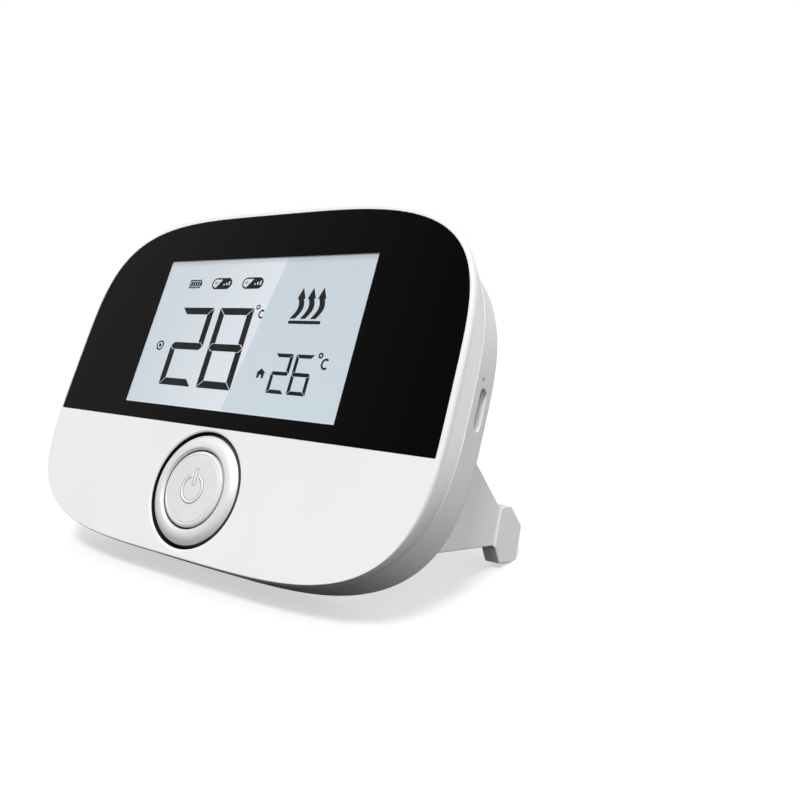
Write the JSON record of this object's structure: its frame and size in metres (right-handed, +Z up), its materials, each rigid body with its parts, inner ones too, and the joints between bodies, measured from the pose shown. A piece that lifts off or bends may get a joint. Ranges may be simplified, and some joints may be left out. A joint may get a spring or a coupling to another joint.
{
  "type": "wall thermostat",
  "caption": "Room thermostat with a display window, a turning dial around a push button, a charging socket in its side, wall keyholes and two folding legs.",
  "frame": {"origin": "on the table plane, midway between the leftmost and rightmost, and the foremost and rearmost, points of the reclined thermostat", "axes": "+X to the right seen from the front, along the case's width; -Y is the way the display faces; +Z up"},
  "size_m": [0.1226, 0.0604, 0.0862],
  "materials": {
    "case_white_abs": "fine satin moulded ABS",
    "lens_black_acrylic": "polished black-printed acrylic",
    "black_adhesive": "matte tape",
    "polariser_film": "smooth film",
    "display_glass": "polished",
    "white_film": "matte film",
    "clear_acrylic": "polished",
    "led_package": "moulded",
    "white_polycarbonate": "satin",
    "conductive_rubber": "matte",
    "circuit_board": "green solder mask on glass epoxy",
    "steel": "zinc plated",
    "chip_epoxy": "moulded epoxy",
    "module_board": "blue solder mask",
    "tinned_steel": "tinned",
    "copper_wire": "copper",
    "sensor_resin": "dipped resin",
    "battery_foil": "laminated foil",
    "connector_nylon": "moulded nylon",
    "red_sleeve": "pvc sleeve",
    "black_sleeve": "pvc sleeve",
    "encoder_plastic": "moulded",
    "natural_acetal": "moulded",
    "dial_silver": "pearl silver paint",
    "button_satin": "satin"
  },
  "bodies": {
    "housing": {"front_housing": "case_white_abs", "rear_housing": "case_white_abs", "housing_screws": "steel", "display_lens": "lens_black_acrylic", "lens_adhesive": "black_adhesive", "front_polariser": "polariser_film", "lcd_front_glass": "display_glass", "lcd_rear_glass": "display_glass", "rear_polariser": "polariser_film", "diffuser_film": "white_film", "light_guide": "clear_acrylic", "backlight_leds": "led_package", "lcd_tray": "white_polycarbonate", "zebra_strip": "conductive_rubber", "main_board": "circuit_board", "board_screws": "steel", "controller_chip": "chip_epoxy", "wifi_module": "module_board", "wifi_shield": "tinned_steel", "radio_module": "circuit_board", "antenna_coil": "copper_wire", "temperature_sensor": "sensor_resin", "charge_led": "led_package", "usb_shell": "tinned_steel", "usb_tongue": "connector_nylon", "battery_cell": "battery_foil", "battery_tape": "black_adhesive", "battery_header": "connector_nylon", "battery_plug": "connector_nylon", "battery_lead_red": "red_sleeve", "battery_lead_black": "black_sleeve", "encoder_base": "encoder_plastic", "button_guide": "natural_acetal", "switch_base": "chip_epoxy", "leg_pins": "steel"},
    "dial": {"dial_ring": "dial_silver", "dial_clip": "steel", "encoder_rotor": "natural_acetal"},
    "button": {"button_cap": "button_satin", "switch_plunger": "natural_acetal"},
    "leg_right": {"leg_right": "case_white_abs"},
    "leg_left": {"leg_left": "case_white_abs"}
  },
  "joints": [
    {"name": "dial_turn", "type": "hinge", "parent": "housing", "child": "dial", "pos_m": [0, -0.02365, 0.02119], "axis": [0, 0.9011, -0.4337], "continuous": true},
    {"name": "button_press", "type": "slide", "parent": "housing", "child": "button", "axis": [0, 0.9011, -0.4337], "range_m": [0, 0.0005], "stiffness_N_per_m": 1500, "springref_m": -0.0004},
    {"name": "leg_right_fold", "type": "hinge", "parent": "housing", "child": "leg_right", "pos_m": [0.0524, -0.00746, 0.02439], "axis": [0, 0.4337, 0.9011], "range_deg": [0, 94]},
    {"name": "leg_left_fold", "type": "hinge", "parent": "housing", "child": "leg_left", "pos_m": [-0.0524, -0.00746, 0.02439], "axis": [0, -0.4337, -0.9011], "range_deg": [0, 94]}
  ]
}
